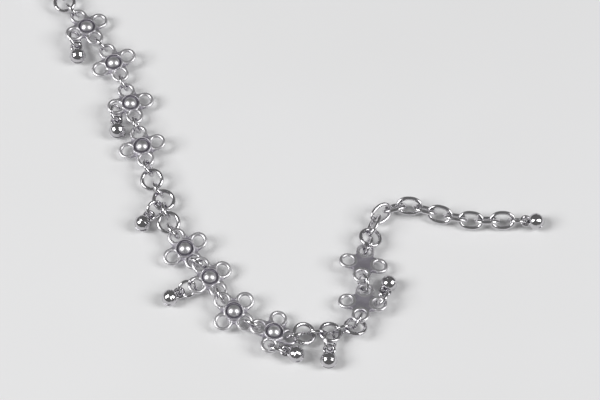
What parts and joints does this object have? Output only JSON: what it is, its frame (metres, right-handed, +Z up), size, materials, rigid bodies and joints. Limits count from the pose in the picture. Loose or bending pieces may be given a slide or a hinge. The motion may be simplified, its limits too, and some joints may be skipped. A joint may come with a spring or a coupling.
{
  "type": "payal anklet",
  "caption": "Silver anklet of openwork four-petal flowers and plain rings on jump rings, with small round bells along one edge and an oval-link extender.",
  "frame": {"origin": "middle of the floor area that the laid anklet covers, on the floor", "axes": "+Z up from the surface that it lies on; +X towards the free end of the extender; +Y towards the clasp end of the strand"},
  "size_m": [0.1054, 0.1304, 0.0041],
  "materials": {
    "oxidised_silver": "silver with dark tarnish in the hollows and polished domes",
    "ring_silver": "drawn silver wire, slightly tarnished",
    "chain_silver": "drawn silver wire, slightly tarnished",
    "polished_silver": "polished silver"
  },
  "bodies": {
    "root": {"bell_01": "polished_silver", "bell_02": "polished_silver", "bell_03": "polished_silver", "bell_04": "polished_silver", "bell_05": "polished_silver", "bell_06": "polished_silver", "bell_07": "polished_silver", "bell_08": "polished_silver", "bell_09": "polished_silver", "bell_10": "polished_silver", "bell_11": "polished_silver", "bell_12": "polished_silver", "bell_13": "polished_silver", "clasp": "chain_silver", "extender_links": "chain_silver", "flower_01": "oxidised_silver", "flower_02": "oxidised_silver", "flower_03": "oxidised_silver", "flower_04": "oxidised_silver", "flower_05": "oxidised_silver", "flower_06": "oxidised_silver", "flower_07": "oxidised_silver", "flower_08": "oxidised_silver", "flower_09": "oxidised_silver", "flower_10": "oxidised_silver", "flower_11": "oxidised_silver", "flower_12": "oxidised_silver", "flower_13": "oxidised_silver", "flower_14": "oxidised_silver", "flower_15": "oxidised_silver", "flower_16": "oxidised_silver", "jump_rings_1": "ring_silver", "jump_rings_2": "ring_silver", "jump_rings_3": "ring_silver", "jump_rings_4": "ring_silver", "jump_rings_5": "ring_silver", "junction_ring": "ring_silver", "ring_01": "ring_silver", "ring_02": "ring_silver", "ring_03": "ring_silver", "ring_04": "ring_silver", "ring_05": "ring_silver", "ring_06": "ring_silver", "ring_07": "ring_silver", "ring_08": "ring_silver", "ring_09": "ring_silver", "ring_10": "ring_silver", "ring_11": "ring_silver", "ring_12": "ring_silver"}
  },
  "joints": []
}
